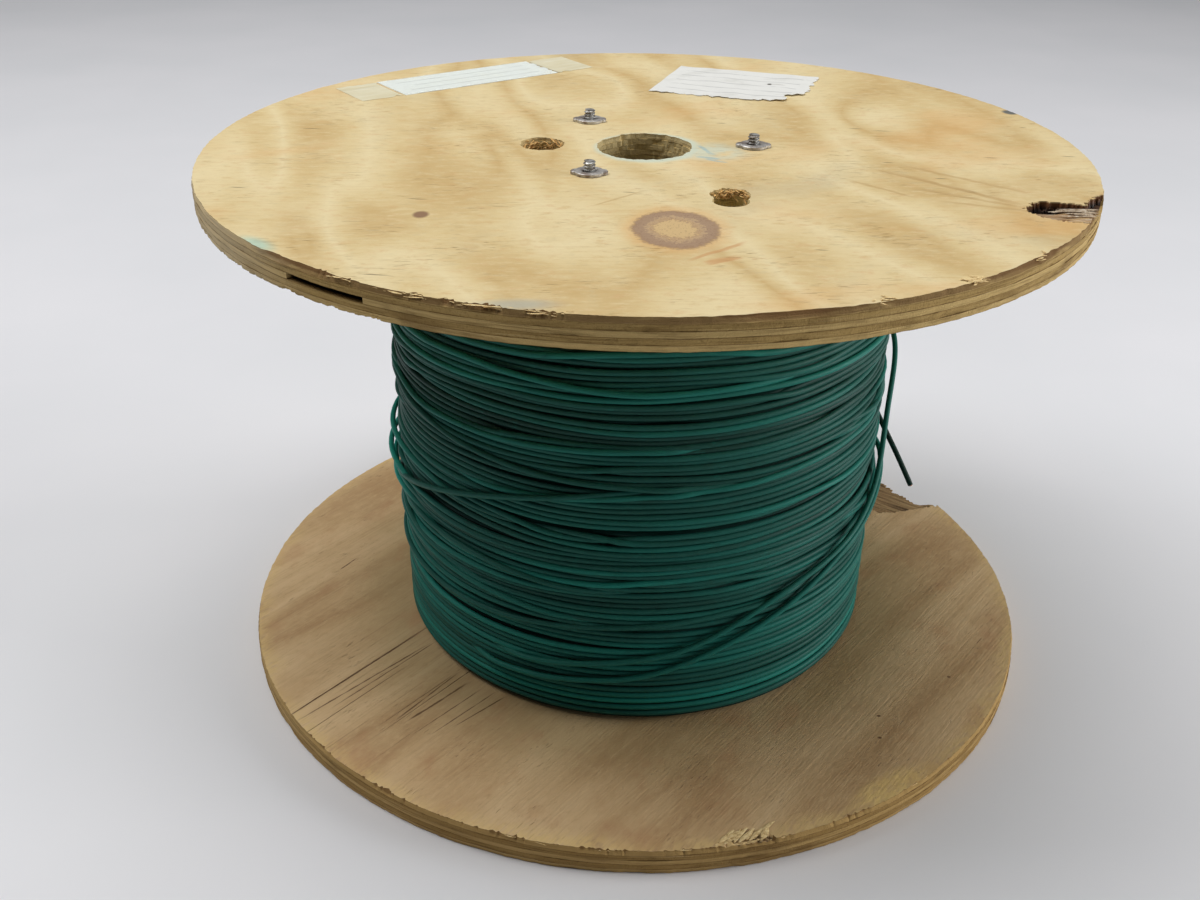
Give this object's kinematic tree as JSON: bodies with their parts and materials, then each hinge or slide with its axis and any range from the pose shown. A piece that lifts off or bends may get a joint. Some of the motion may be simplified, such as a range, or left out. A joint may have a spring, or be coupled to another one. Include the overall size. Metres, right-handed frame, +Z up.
{
  "type": "wooden cable drum",
  "caption": "Plywood cable drum standing on one flange, wound with thin green insulated wire, with through bolts, tee nuts, an arbor hole and a loose wire end.",
  "frame": {"origin": "middle of the lower flange's underside", "axes": "+Z up along the drum's axis, -Y towards the front that the picture shows, +X to its right"},
  "size_m": [0.3556, 0.3556, 0.2274],
  "materials": {
    "weathered_plywood": "bare, weathered brown",
    "pale_plywood": "bare, pale tan",
    "fibreboard": "wound fibreboard",
    "green_insulation": "smooth dark green insulation",
    "zinc_steel": "dull zinc plate",
    "white_paper": "matt paper, blank",
    "yellowed_tape": "yellowed clear tape"
  },
  "bodies": {
    "root": {"lower_flange": "weathered_plywood", "upper_flange": "pale_plywood", "barrel": "fibreboard", "wire_winding": "green_insulation", "stray_turn_1": "green_insulation", "stray_turn_2": "green_insulation", "stray_turn_3": "green_insulation", "wire_tail": "green_insulation", "tie_bolt_1": "zinc_steel", "tie_bolt_2": "zinc_steel", "tie_bolt_3": "zinc_steel", "tee_nut_1": "zinc_steel", "tee_nut_2": "zinc_steel", "tee_nut_3": "zinc_steel", "paper_label_torn": "white_paper", "paper_label_taped": "white_paper", "label_tape": "yellowed_tape"}
  },
  "joints": []
}
